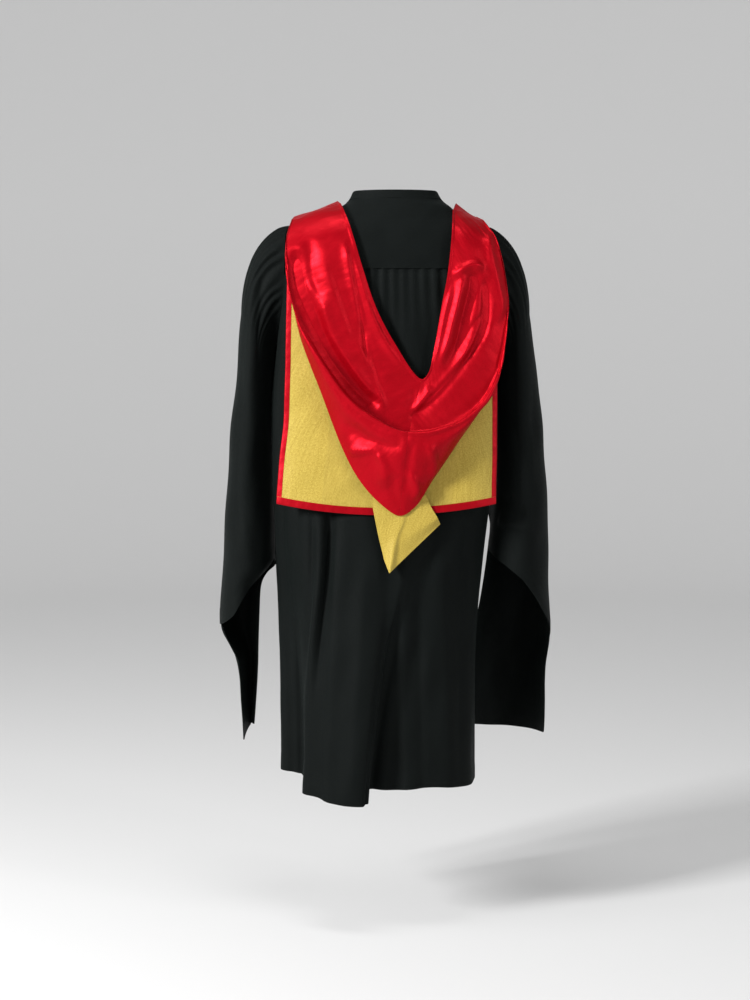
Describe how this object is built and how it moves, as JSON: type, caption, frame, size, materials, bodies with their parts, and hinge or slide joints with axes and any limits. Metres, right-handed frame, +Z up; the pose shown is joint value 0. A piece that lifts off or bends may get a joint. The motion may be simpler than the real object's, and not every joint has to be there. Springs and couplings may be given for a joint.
{
  "type": "graduation gown with hood",
  "caption": "Worn open-front graduation gown with long pointed sleeves and a square-caped hood on its back, hollow inside.",
  "frame": {"origin": "between the shoulders where the wearer carries the gown, at the height where neck and shoulders meet", "axes": "+Z up; the front of the gown faces -Y; +X is the wearer's left"},
  "size_m": [0.6985, 0.3573, 1.2463],
  "materials": {
    "gown_cloth": "matt black, soft wool and polyester cloth with a faint sheen",
    "hood_satin": "glossy red satin",
    "hood_gold": "gold ribbed cloth with a soft lustre"
  },
  "bodies": {
    "root": {"gown_yoke": "gown_cloth", "gown_collar": "gown_cloth", "gown_back": "gown_cloth", "gown_front_left": "gown_cloth", "gown_front_right": "gown_cloth", "sleeve_left": "gown_cloth", "sleeve_right": "gown_cloth", "hood_cape": "hood_gold", "hood_binding_left": "hood_satin", "hood_binding_right": "hood_satin", "hood_binding_bottom": "hood_satin", "hood_lining_left": "hood_satin", "hood_lining_right": "hood_satin", "hood_liripipe": "hood_gold", "hood_band_left": "hood_satin", "hood_band_right": "hood_satin"}
  },
  "joints": []
}
